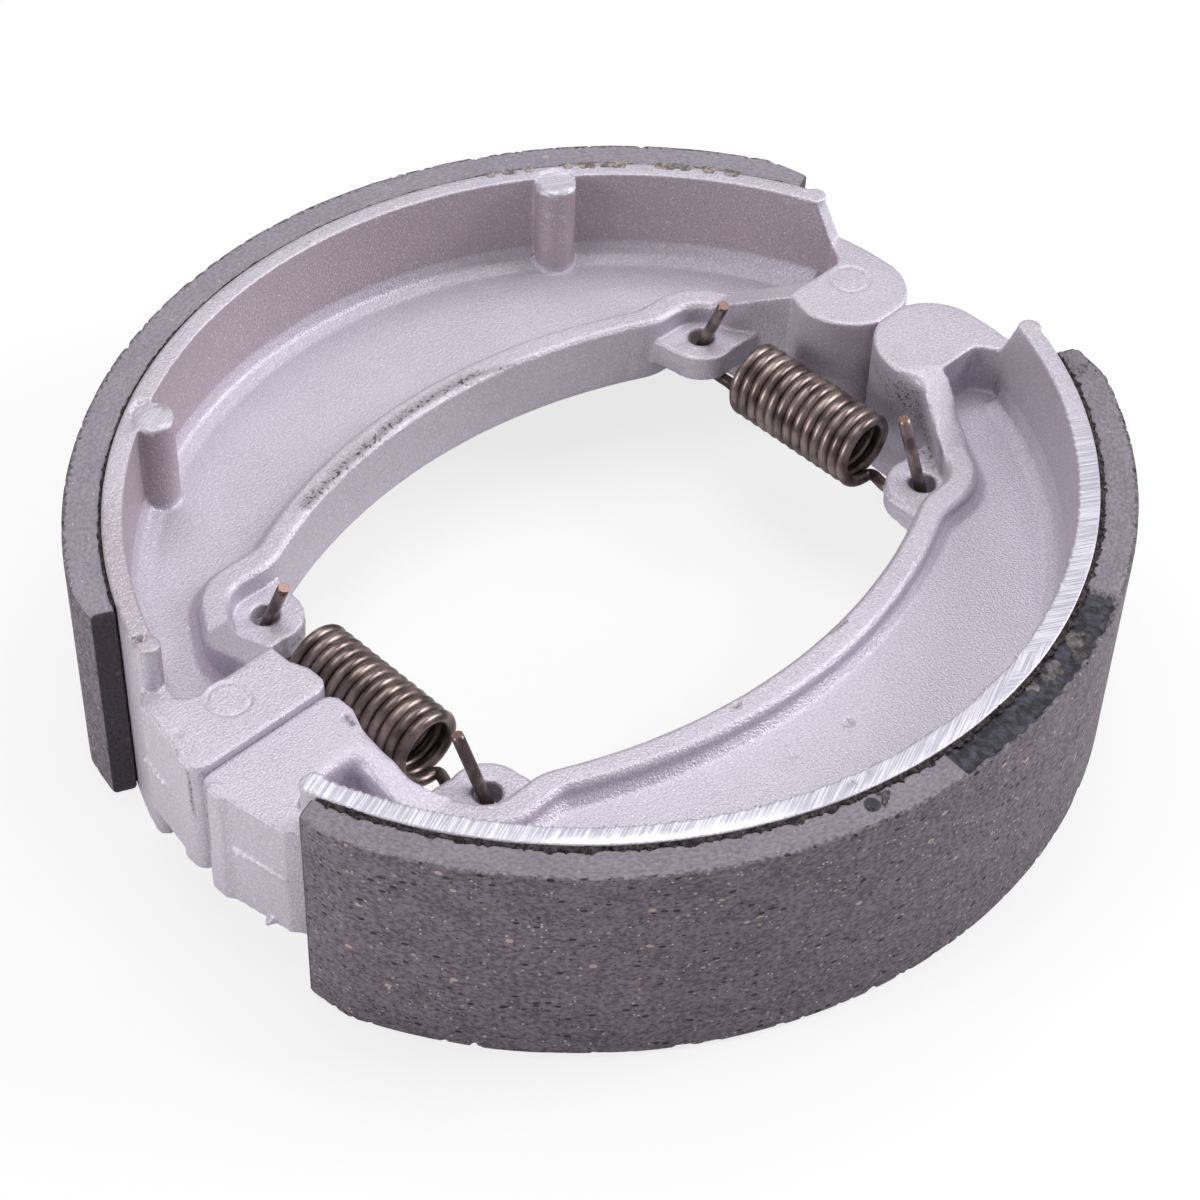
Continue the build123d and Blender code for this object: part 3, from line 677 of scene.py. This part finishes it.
def mark_the_top(section, degrees, across, high, seed):
    """Sinks the slate patch and the hole, raises the lumps of resin and roughens the top's first stretch:
    returns the new heights, and as shares from 0 to 1 where it is sunk and where the lumps are."""
    arc = np.radians(degrees)[:, None]
    on_top = section[:, 1] < -LINING_HALF_WIDTH + 0.5 * MM
    on_top = (on_top & (np.abs(section[:, 0]) < LINING_HALF_THICKNESS))[None]

    def gap_from(place_degrees, place_r):
        along = (arc - math.radians(place_degrees)) * LINING_MIDDLE_R
        return np.hypot(along, across + LINING_MIDDLE_R - place_r * MM)

    patch = np.clip((degrees - SLATE_FROM) / 3.0, 0, 1) * np.clip((SLATE_TO - degrees) / 0.25, 0, 1)
    ragged = 0.25 + 0.5 * smooth_noise(LINING_ROWS, 2.7, seed + 5)[:, None]
    shelf = on_top * patch[:, None] * np.clip((LINING_HALF_THICKNESS - across) / (ragged * MM) - 0.5, 0, 1)
    shelf = np.maximum(shelf, on_top * np.clip(2 - gap_from(*SLATE_HOLE) / (0.45 * MM), 0, 1))
    grain = np.random.default_rng(seed).random(high.shape)
    high = high + shelf * (0.12 + 0.10 * grain) * MM
    along = arc * LINING_MIDDLE_R
    uneven = 0.45 * MM * waves(1.7, (2900, along + across), (4700, across - along))
    lumps = 0 * across
    for lump_degrees, lump_r, reach in RESIN_LUMPS:
        gap = gap_from(lump_degrees, lump_r) + uneven
        lumps = np.maximum(lumps, np.clip((1 - gap / (reach * MM)) * 2.2, 0, 1) * on_top)
    high = high - 0.2 * MM * lumps * (0.9 + 0.1 * grain)
    rough = np.clip((ROUGH_TO - degrees) / 2, 0, 1)[:, None] * on_top
    high = high + 0.16 * MM * grain * rough
    return high, np.maximum(shelf, 0.2 * rough), lumps


def mark_the_lining(mesh, side):
    """Gives the material the lining's unrolled coordinates (along the arc, out, up) and two shares from 0
    to 1: the sawn ends and the flanks, which are the top and the underside."""
    own = own_way_up(mesh, side)
    degrees, out = round_the_arc(own)
    turn = np.radians(degrees)
    unrolled = mesh.attributes.new("unrolled", "FLOAT_VECTOR", "POINT")
    flat = np.stack([turn * LINING_MIDDLE_R, out, own[:, 2]], 1)
    unrolled.data.foreach_set("vector", flat.astype(np.float32).ravel())
    from_end = np.minimum(turn - turn.min(), turn.max() - turn) * LINING_MIDDLE_R
    point_values(mesh, "shaded_sawn_end", np.clip(1 - from_end / (0.2 * MM), 0, 1))
    on_flank = np.abs(own[:, 2]) > LINING_HALF_WIDTH - 0.3 * MM
    point_values(mesh, "flank", np.clip((LINING_OUTER_R - out) / (0.7 * MM), 0, 1) * on_flank)


def make_lining(node, side, ends, seed, marked):
    """Bar bent round the drum's radius, thinned from outside towards both ends. A ring's points are clamped
    to a rectangle smaller by the corner's rounding and pushed out again by it, so every long edge is worn."""
    section = bar_section(LINING_HALF_THICKNESS, LINING_HALF_WIDTH, 0.02 * MM)
    degrees = np.linspace(*ends, LINING_ROWS)
    to_end = np.radians(np.minimum(degrees - degrees[0], degrees[-1] - degrees))
    rounding = edge_roundings(section, to_end, seed)
    inner_a = LINING_HALF_THICKNESS - rounding
    inner_h = LINING_HALF_WIDTH - rounding
    core_a = np.clip(section[None, :, 0], -inner_a, inner_a)
    core_h = np.clip(section[None, :, 1], -inner_h, inner_h)
    away_a, away_h = section[None, :, 0] - core_a, section[None, :, 1] - core_h
    reach = np.minimum(rounding / np.maximum(np.hypot(away_a, away_h), 1e-7), 1)
    across = core_a + away_a * reach
    high = core_h + away_h * reach
    shelf = lumps = 0 * across
    if marked:
        high, shelf, lumps = mark_the_top(section, degrees, across, high, seed)
    taper = LINING_TAPER_DEPTH * np.clip(1 - to_end / LINING_TAPER, 0, 1)[:, None]
    taper = taper * (across + LINING_HALF_THICKNESS) / (2 * LINING_HALF_THICKNESS)
    radius = LINING_MIDDLE_R + across - taper
    arc = np.radians(degrees)[:, None]
    y = radius * np.sin(arc) - ARC_DROP
    rings = np.stack([radius * np.cos(arc), y * side, high * side + MIDDLE_Z], -1)
    mesh = solid_from_rings(node + "_bar", rings)
    mesh.shade_smooth()
    mesh.set_sharp_from_angle(angle=math.radians(38))
    ring_values(mesh, "slate", shelf)
    ring_values(mesh, "resin", lumps)
    mark_the_lining(mesh, side)
    lining = new_object(node + "_moulded", mesh)
    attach(lining, "left_shoe" if side > 0 else "right_shoe")
    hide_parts(node)
    return lining


def grain_group():
    """Group shared by both composites: a mask of small separate grains. A Voronoi cell has a grain where its
    random red is below the share, and the grain's size grows with its random green."""
    tree = bpy.data.node_groups.new("Grains", "ShaderNodeTree")
    for label, kind in (
        ("Place", "Vector"), ("Stretch", "Vector"), ("Scale", "Float"), ("Share", "Float"), ("Size", "Float"),
    ):
        tree.interface.new_socket(label, in_out="INPUT", socket_type="NodeSocket" + kind)
    tree.interface.new_socket("Mask", in_out="OUTPUT", socket_type="NodeSocketFloat")
    given = tree.nodes.new("NodeGroupInput").outputs
    place = new_node(tree, "Mapping", {"Vector": given["Place"], "Scale": given["Stretch"]})["Vector"]
    cells = new_node(tree, "TexVoronoi", {"Vector": place, "Scale": given["Scale"]})
    picked = new_node(tree, "SeparateColor", {"Color": cells["Color"]})
    chosen = math_node(tree, "LESS_THAN", picked["Red"], given["Share"])
    growth = math_node(tree, "MULTIPLY_ADD", picked["Green"], 0.7, 0.5)
    close = math_node(tree, "LESS_THAN", cells["Distance"], times(tree, growth, given["Size"]))
    plug(times(tree, chosen, close), tree.nodes.new("NodeGroupOutput").inputs["Mask"])
    return tree


GRAINS = grain_group()


def grains(tree, place, scale, share, size, stretch):
    """Mask of the composite's grains: cells per metre, share of cells, size and stretch of the cells."""
    inputs = {"Place": place, "Scale": scale, "Share": share, "Size": size, "Stretch": stretch}
    return new_node(tree, "Group", inputs, node_tree=GRAINS)["Mask"]


# Grains of the composite, white, brown and tan, then black ones, then pits: cells per metre, share of the
# cells that have one, size, stretch of the cells, and colour of the pale ones
PALE_GRAINS = (
    (2700.0, 0.06, 0.26, (1, 1, 1), (0.54, 0.48, 0.50)),
    (2100.0, 0.07, 0.3, (1, 1, 1), (0.40, 0.28, 0.22)),
    (1200.0, 0.025, 0.3, (0.7, 1, 1), (0.44, 0.33, 0.30)),
)
BLACK_GRAINS = (2600.0, 0.16, 0.32, (1, 1, 1))
PITS = (1900.0, 0.24, 0.31, (0.55, 1, 1))


def friction_material(name, flank_dark, flank_pale, flank_flecks):
    """Grey-purple composite: mottled ground, fine grit, pits drawn out along the arc, pale and black grains.
    The two colours and the strength of the pale grains are its flanks'; the black ones hardly show there."""
    material, tree, shader, _ = new_material(name)
    place = point_value(tree, "unrolled", "Vector")
    slow = noise_node(tree, place, 330.0, 4.0, stretch=(1.6, 1.0, 1.0))
    fine = noise_node(tree, place, 3000.0, 3.0, stretch=(1.5, 1.0, 1.0))
    mottled = times(tree, slow, 0.22)
    tone = math_node(tree, "MULTIPLY_ADD", fine, 0.78, mottled)
    share = above(tree, tone, 0.38, 0.62)
    face = mix_colour(tree, share, (0.078, 0.065, 0.078), (0.205, 0.172, 0.207))
    flank_tone = mix_colour(tree, share, flank_dark, flank_pale)
    frayed = math_node(tree, "MULTIPLY_ADD", fine, 1.2, -0.6)
    flank = math_node(tree, "ADD", point_value(tree, "flank"), frayed)
    flank = above(tree, flank, 0.35, 0.65)
    colour = mix_colour(tree, flank, face, flank_tone)
    seen = math_node(tree, "MULTIPLY_ADD", flank, flank_flecks - 1, 1.0)
    off_flank = math_node(tree, "MULTIPLY_ADD", flank, -0.9, 1.0)
    for *cells, tint in PALE_GRAINS:
        colour = tinted(tree, colour, grains(tree, place, *cells), seen, tint)
    colour = tinted(tree, colour, grains(tree, place, *BLACK_GRAINS), off_flank, (0.012, 0.011, 0.013))
    # The pits are painted near-black: painted shade in the pits
    pits = times(tree, grains(tree, place, *PITS), off_flank)
    colour = mix_colour(tree, pits, colour, (0.014, 0.012, 0.014))
    wrinkled = noise_node(tree, place, 1100.0, 4.0, stretch=(0.7, 1.0, 1.0))
    creases = above(tree, wrinkled, 0.4, 0.66)
    slate_tone = mix_colour(tree, creases, (0.008, 0.008, 0.013), (0.064, 0.061, 0.09))
    sunk = point_value(tree, "slate")
    slate = above(tree, math_node(tree, "ADD", sunk, frayed), 0.2, 0.5)
    slate = times(tree, slate, above(tree, sunk, 0.0, 0.1))
    colour = mix_colour(tree, slate, colour, slate_tone)
    resin = point_value(tree, "resin")
    colour = mix_colour(tree, above(tree, resin, 0.0, 0.25), colour, (0.022, 0.018, 0.018))
    resin_tone = mix_colour(tree, creases, (0.045, 0.038, 0.041), (0.19, 0.165, 0.172))
    colour = mix_colour(tree, above(tree, resin, 0.35, 0.7), colour, resin_tone)
    # Painted shade: the sawn ends are darkened nearly to black
    colour = tinted(tree, colour, point_value(tree, "shaded_sawn_end"), 0.82, (0.02, 0.017, 0.02))
    plug(colour, shader.inputs["Base Color"])
    dull = math_node(tree, "MULTIPLY_ADD", slate, -0.1, 0.7)
    plug(math_node(tree, "MULTIPLY_ADD", resin, -0.3, dull), shader.inputs["Roughness"])
    pitted = bumped(tree, math_node(tree, "SUBTRACT", fine, pits), 0.07 * MM, 0.8)
    creased = times(tree, slate, wrinkled)
    plug(bumped(tree, creased, 0.35 * MM, 0.9, pitted), shader.inputs["Normal"])
    return material


GROUND = friction_material(
    "Friction composite, ground flanks", (0.215, 0.196, 0.236), (0.30, 0.276, 0.325), 0.8
)
MOULDED = friction_material(
    "Friction composite, moulded flanks", (0.17, 0.15, 0.178), (0.265, 0.236, 0.276), 0.4
)
for node, side, ends, seed, marked, material in (
    ("left_friction_lining", 1, LEFT_ENDS, 3, False, GROUND),
    ("right_friction_lining", -1, RIGHT_ENDS, 8, True, MOULDED),
):
    dress(make_lining(node, side, ends, seed, marked), material)


# Bond lines: the film of heat-set adhesive between rim and lining, dark brown, set back from the edges, and
# the crumbly bead of it that was squeezed out along both long sides, paler where smeared on the rim's edge.
BEAD_R = 51.2 * MM
BEAD_Z = 12.33 * MM
BEAD_ROWS = 700
BEAD_SIDES = 10
# Degrees round the arc from and to which the left bead is smeared on the rim's ground edge
LEFT_SMEARS = ((26.3, 28.6), (31.6, 43.0), (45.4, 54.2), (57.0, 63.8))


def make_bead(node, side, ends, half, seed, size, smears):
    """Crumbly cord round the arc: an ellipse whose two half sizes vary from row to row, each point jittered.
    Where it is smeared, it is flat and lies on the rim's edge. half is 1 along the lining's own top and -1
    along its underside."""
    degrees = np.linspace(ends[0] + 0.4, ends[1] - 0.4, BEAD_ROWS)
    crumbs = smooth_noise(BEAD_ROWS, 2.6, seed + 1) ** 3
    wide = 0.12 + 0.26 * smooth_noise(BEAD_ROWS, 9.0, seed) + 0.45 * crumbs
    tall = 0.04 + 0.32 * smooth_noise(BEAD_ROWS, 13.0, seed + 3) * smooth_noise(BEAD_ROWS, 2.3, seed + 2)
    smear = np.zeros(BEAD_ROWS)
    for start, end in smears:
        smear = np.maximum(smear, np.clip(np.minimum(degrees - start, end - degrees) / 0.7, 0, 1))
    smear *= np.clip(2.2 * smooth_noise(BEAD_ROWS, 7.3, seed + 4), 0.4, 1)
    wide = wide * size + 0.42 * smear
    tall = tall * size * (1 - smear) + 0.1 * smear
    fade = np.clip(np.minimum(degrees - degrees[0], degrees[-1] - degrees) / 1.0, 0.15, 1)
    jitter = np.random.default_rng(seed).normal(0, 0.05 * MM * size, (BEAD_ROWS, BEAD_SIDES, 2))
    a = np.linspace(0, 2 * np.pi, BEAD_SIDES, endpoint=False)[None]
    radius = BEAD_R + (wide * fade)[:, None] * MM * np.cos(a) + jitter[..., 0] - 0.4 * MM * smear[:, None]
    high = BEAD_Z + (tall * fade)[:, None] * MM * np.sin(a) + jitter[..., 1] + 0.33 * MM * smear[:, None]
    t = np.radians(degrees)[:, None]
    y = radius * np.sin(t) - ARC_DROP
    rings = np.stack([radius * np.cos(t), y * side, high * half * side + MIDDLE_Z], -1)
    mesh = solid_from_rings(node + "_bead", rings if half > 0 else rings[:, ::-1])
    ring_values(mesh, "smear", np.repeat(smear[:, None], BEAD_SIDES, 1))
    bead = new_object(mesh.name, mesh)
    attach(bead, "left_shoe" if side > 0 else "right_shoe")
    return bead


adhesive, tree, shader, coordinates = new_material("Adhesive, cured")
crumbs = noise_node(tree, coordinates, 1800.0, 4.0)
share = above(tree, crumbs, 0.42, 0.62)
brown = mix_colour(tree, share, (0.008, 0.006, 0.007), (0.07, 0.052, 0.052))
pale = mix_colour(tree, share, (0.14, 0.115, 0.115), (0.38, 0.33, 0.315))
smeared = above(tree, point_value(tree, "smear"), 0.25, 0.6)
plug(mix_colour(tree, smeared, brown, pale), shader.inputs["Base Color"])
shader.inputs["Roughness"].default_value = 0.55
shader.inputs["Specular IOR Level"].default_value = 0.25
plug(bumped(tree, crumbs, 0.2 * MM, 0.8), shader.inputs["Normal"])
for node, side, ends, seed in (
    ("left_bond_line", 1, LEFT_ENDS, 21),
    ("right_bond_line", -1, RIGHT_ENDS, 31),
):
    dress(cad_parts[node], adhesive)
    for half in (1, -1):
        # The left lining's top was ground after bonding, so its bead is thin and smeared
        ground_top = side == half == 1
        size, smears = (0.4, LEFT_SMEARS) if ground_top else (1.0, ())
        dress(make_bead(node, side, ends, half, seed + half, size, smears), adhesive)


# Return springs: 1.25 mm oil-tempered wire close-wound on a mandrel, thirteen turns. Each end leaves the
# coil's underside, runs under its shoe's lug and turns up through the lug's hole to a cut tip.
WIRE_R = 0.625 * MM
COIL_R = 3.475 * MM
COIL_PITCH = 1.262 * MM
COIL_TURNS = 13
COIL_Z = 0.9 * MM
STEPS_PER_TURN = 30
WIRE_SIDES = 14
# The hole of the left shoe's anchor-side lug in plan, and half of a lug's thickness
LUG = (30.5 * MM, 15.7 * MM)
LUG_HALF = 1.5 * MM
HOOK_Z = -LUG_HALF - 0.1 * MM - WIRE_R
HOOK_LEAD = 3.3 * MM
HOOK_BEND_R = 1.1 * MM


def hook_line(leave, outward, hole_x, tail):
    """Wire's middle line from the coil to the cut tip: an S-shaped lead (a cubic Bezier curve), a straight, a
    bend round HOOK_BEND_R and the tail, which leans by lean_x and lean_back for each unit of height."""
    lean_x, lean_back, height = tail
    slope = np.array([lean_x, -outward * lean_back, 1.0])
    through = np.array([hole_x, outward * LUG[1], 0.0])
    corner = through + slope * HOOK_Z
    tip = through + slope * (LUG_HALF + height)
    run_start = np.array([hole_x, leave[1] + outward * HOOK_LEAD, HOOK_Z])
    back = (run_start - corner) / np.linalg.norm(run_start - corner)
    rise = (tip - corner) / np.linalg.norm(tip - corner)
    half_angle = math.acos(float(back @ rise)) / 2
    reach = HOOK_BEND_R / math.tan(half_angle)
    turn_start, turn_end = corner + back * reach, corner + rise * reach
    pull = 0.55 * HOOK_LEAD
    handle_a = leave + np.array([-outward, 0, 0]) * pull
    handle_b = run_start + back * pull
    t = np.linspace(0, 1, 15)[1:, None]
    lead = leave * (1 - t) ** 3 + handle_a * 3 * t * (1 - t) ** 2
    lead = lead + handle_b * 3 * t * t * (1 - t) + run_start * t**3
    straight = run_start + (turn_start - run_start) * np.linspace(0, 1, 4)[1:-1, None]
    bisector = (back + rise) / np.linalg.norm(back + rise)
    centre = corner + bisector * HOOK_BEND_R / math.sin(half_angle)
    first, last = turn_start - centre, turn_end - centre
    swing = math.pi - 2 * half_angle
    a = np.linspace(0, swing, 12)[:, None]
    bend = centre + first * np.sin(swing - a) / math.sin(swing) + last * np.sin(a) / math.sin(swing)
    tail_line = turn_end + (tip - turn_end) * np.linspace(0, 1, 14)[1:, None]
    return np.concatenate([lead, straight, bend, tail_line])


def wire_rings(line, radius, sides):
    """Circles across a line of points, each turned as little as possible from the one before it."""
    ahead = np.gradient(line, axis=0)
    ahead /= np.linalg.norm(ahead, axis=1)[:, None]
    across = np.empty_like(line)
    across[0] = np.cross(ahead[0], [0.3, 0.2, 0.9])
    for i in range(1, len(line)):
        across[i] = across[i - 1] - ahead[i] * (across[i - 1] @ ahead[i])
        across[i] /= np.linalg.norm(across[i])
    across[0] /= np.linalg.norm(across[0])
    third = np.cross(ahead, across)
    a = np.linspace(0, 2 * np.pi, sides, endpoint=False)
    ring = across[:, None] * np.cos(a)[:, None] + third[:, None] * np.sin(a)[:, None]
    return line[:, None] + ring * radius[:, None, None]


def make_spring(node, axis_x, middle_y, left_tail, right_tail):
    """Helix (radius, angle and pitch along Y) with a hook at each end, swept with a round wire. A tail is its
    lean along X, its lean back towards the coil, and its height above the lug."""
    a = np.linspace(0, 2 * np.pi * COIL_TURNS, COIL_TURNS * STEPS_PER_TURN + 1)
    y = middle_y + COIL_PITCH * (a / (2 * np.pi) - COIL_TURNS / 2)
    coil = np.stack([axis_x - COIL_R * np.sin(a), y, COIL_Z - COIL_R * np.cos(a)], 1)
    hole_x = math.copysign(LUG[0], axis_x)
    right_hook = hook_line(coil[0], -1, hole_x, right_tail)
    left_hook = hook_line(coil[-1], 1, hole_x, left_tail)
    line = np.concatenate([right_hook[::-1], coil, left_hook])
    line[:, 2] += MIDDLE_Z
    radius = np.full(len(line), WIRE_R)
    radius[[0, -1]] *= 0.9
    mesh = solid_from_rings(node + "_wire", wire_rings(line, radius, WIRE_SIDES))
    mesh.shade_smooth()
    places = vectors_of(mesh.vertices, "co")
    to_tip = np.minimum(*[np.linalg.norm(places - tip, axis=1) for tip in (line[0], line[-1])])
    point_values(mesh, "cut_end", to_tip < 0.55 * MM)
    spring = new_object(node + "_wound", mesh)
    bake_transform(spring)
    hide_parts(node)
    return spring


spring_steel, tree, shader, coordinates = new_material("Spring wire, oil tempered", metallic=0.8)
scale_patches = noise_node(tree, coordinates, 520.0, 4.0)
share = above(tree, scale_patches, 0.38, 0.66)
bronze = mix_colour(tree, share, (0.125, 0.095, 0.09), (0.34, 0.27, 0.25))
bronze = mix_colour(tree, point_value(tree, "cut_end"), bronze, (0.42, 0.26, 0.22))
plug(bronze, shader.inputs["Base Color"])
plug(math_node(tree, "MULTIPLY_ADD", scale_patches, 0.3, 0.2), shader.inputs["Roughness"])
for node, axis_x, middle_y, left_tail, right_tail in (
    ("anchor_end_spring", 30.2 * MM, -0.15 * MM, (0.0, 0.38, 6.0 * MM), (-0.15, 0.25, 8.0 * MM)),
    ("cam_end_spring", -30.6 * MM, 0.3 * MM, (0.08, 0.38, 5.2 * MM), (-0.13, 0.38, 6.3 * MM)),
):
    dress(make_spring(node, axis_x, middle_y, left_tail, right_tail), spring_steel)


# Stage: a plain white bench that shows nearly white to the camera and still takes the shadows, soft studio
# light from a pale world and three square lamps, and the photograph's camera.
BENCH_HALF = 1.5
BENCH_GLOW = 0.78
corners = [(x * BENCH_HALF, y * BENCH_HALF, 0) for x, y in ((-1, -1), (1, -1), (1, 1), (-1, 1))]
bench_mesh = bpy.data.meshes.new("bench")
bench_mesh.from_pydata(corners, [], [(0, 1, 2, 3)])
bench = new_object("bench", bench_mesh)
bench_material, tree, shader, _ = new_material("Bench, white")
shader.inputs["Base Color"].default_value = (0.9, 0.9, 0.9, 1)
shader.inputs["Roughness"].default_value = 0.9
glow = new_node(tree, "Emission", {"Color": (1, 1, 1, 1)})["Emission"]
seen_share = times(tree, new_node(tree, "LightPath", {})["Is Camera Ray"], BENCH_GLOW)
glowing = new_node(tree, "MixShader", {"Fac": seen_share, 1: shader.outputs["BSDF"], 2: glow})["Shader"]
plug(glowing, tree.nodes["Material Output"].inputs["Surface"])
dress(bench, bench_material)

world = bpy.data.worlds.new("Studio")
bpy.context.scene.world = world
world.use_nodes = True
background = world.node_tree.nodes["Background"]
background.inputs["Color"].default_value = (1, 1, 1, 1)
background.inputs["Strength"].default_value = 0.27

# Name, place, width and power in watts; each lamp looks at the middle of the set
for name, place, width, power in (
    ("top light", (0.12, 0.12, 0.62), 0.5, 2.2),
    ("right light", (0.5, -0.36, 0.4), 0.3, 3.4),
    ("left light", (-0.6, 0.2, 0.25), 0.3, 2.0),
):
    light = bpy.data.lights.new(name, "AREA")
    light.shape = "SQUARE"
    light.size = width
    light.energy = power
    lamp = new_object(name, light)
    lamp.location = place
    aim = Vector((0, 0, MIDDLE_Z)) - Vector(place)
    lamp.rotation_euler = aim.to_track_quat("-Z", "Y").to_euler()

CAMERA_AZIMUTH = math.radians(-46.29)
CAMERA_ELEVATION = math.radians(45.23)
CAMERA_ROLL = math.radians(2.17)
CAMERA_DISTANCE = 297.95 * MM
CAMERA_SHIFT = (-0.2314 * MM, -4.2513 * MM)
SENSOR_WIDTH = 36.0
FOCAL_LENGTH_IN_FRAMES = 2983.6 / 1200
toward = Vector((
    math.sin(CAMERA_AZIMUTH) * math.cos(CAMERA_ELEVATION),
    -math.cos(CAMERA_AZIMUTH) * math.cos(CAMERA_ELEVATION),
    math.sin(CAMERA_ELEVATION),
))
level = Vector((math.cos(CAMERA_AZIMUTH), math.sin(CAMERA_AZIMUTH), 0))
upright = toward.cross(level)
right = level * math.cos(CAMERA_ROLL) + upright * math.sin(CAMERA_ROLL)
up = upright * math.cos(CAMERA_ROLL) - level * math.sin(CAMERA_ROLL)
lens = bpy.data.cameras.new("camera")
lens.sensor_width = SENSOR_WIDTH
lens.lens = SENSOR_WIDTH * FOCAL_LENGTH_IN_FRAMES
lens.clip_start = 0.01
lens.clip_end = 10.0
camera = new_object("camera", lens)
place = toward * CAMERA_DISTANCE + right * CAMERA_SHIFT[0] + up * CAMERA_SHIFT[1] + Vector((0, 0, MIDDLE_Z))
camera.matrix_world = Matrix((
    (right.x, up.x, toward.x, place.x),
    (right.y, up.y, toward.y, place.y),
    (right.z, up.z, toward.z, place.z),
    (0, 0, 0, 1),
))
bpy.context.scene.camera = camera
bpy.context.scene.view_settings.view_transform = "Standard"
